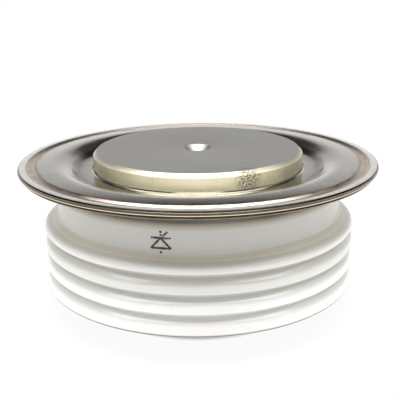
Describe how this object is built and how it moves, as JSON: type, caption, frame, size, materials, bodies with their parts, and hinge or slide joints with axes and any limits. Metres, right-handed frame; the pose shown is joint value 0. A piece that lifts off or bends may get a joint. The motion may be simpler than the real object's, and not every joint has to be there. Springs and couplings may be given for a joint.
{
  "type": "disc thyristor",
  "caption": "Round press-pack power thyristor: plated copper contact faces, corrugated metal flange and a ribbed white ceramic ring between them.",
  "frame": {"origin": "centre of the anode contact face, the underside that the part rests on", "axes": "+Z along the disc's axis, from the anode face to the cathode face; the gate tube points along +Y"},
  "size_m": [0.0579, 0.0578, 0.026],
  "materials": {
    "plated_copper": "matte nickel plate on copper",
    "plated_sheet": "bright nickel plate on copper sheet",
    "rim_sheet": "satin nickel plate, warm at the edge",
    "glazed_ceramic": "white glaze on alumina",
    "anode_sheet": "satin nickel plate on copper sheet",
    "anode_copper": "matte nickel plate on copper",
    "molybdenum": "lapped molybdenum",
    "silicon": "polished silicon",
    "silicone": "soft silicone",
    "white_plastic": "white fluoropolymer",
    "contact_metal": "silver plate",
    "spring_steel": "drawn wire",
    "mica": "mica disc",
    "tube_metal": "satin nickel plate"
  },
  "bodies": {
    "root": {"cathode_pole": "plated_copper", "cathode_flange": "plated_sheet", "weld_ring": "rim_sheet", "ceramic_ring": "glazed_ceramic", "anode_flange": "anode_sheet", "anode_pole": "anode_copper", "anode_molybdenum_disc": "molybdenum", "silicon_wafer": "silicon", "edge_seal": "silicone", "cathode_molybdenum_disc": "molybdenum", "centring_ring": "white_plastic", "gate_pin": "contact_metal", "gate_spring": "spring_steel", "gate_guide": "white_plastic", "gate_insulator": "mica", "gate_lead": "contact_metal", "gate_lead_sleeve": "white_plastic", "gate_tube": "tube_metal"}
  },
  "joints": []
}
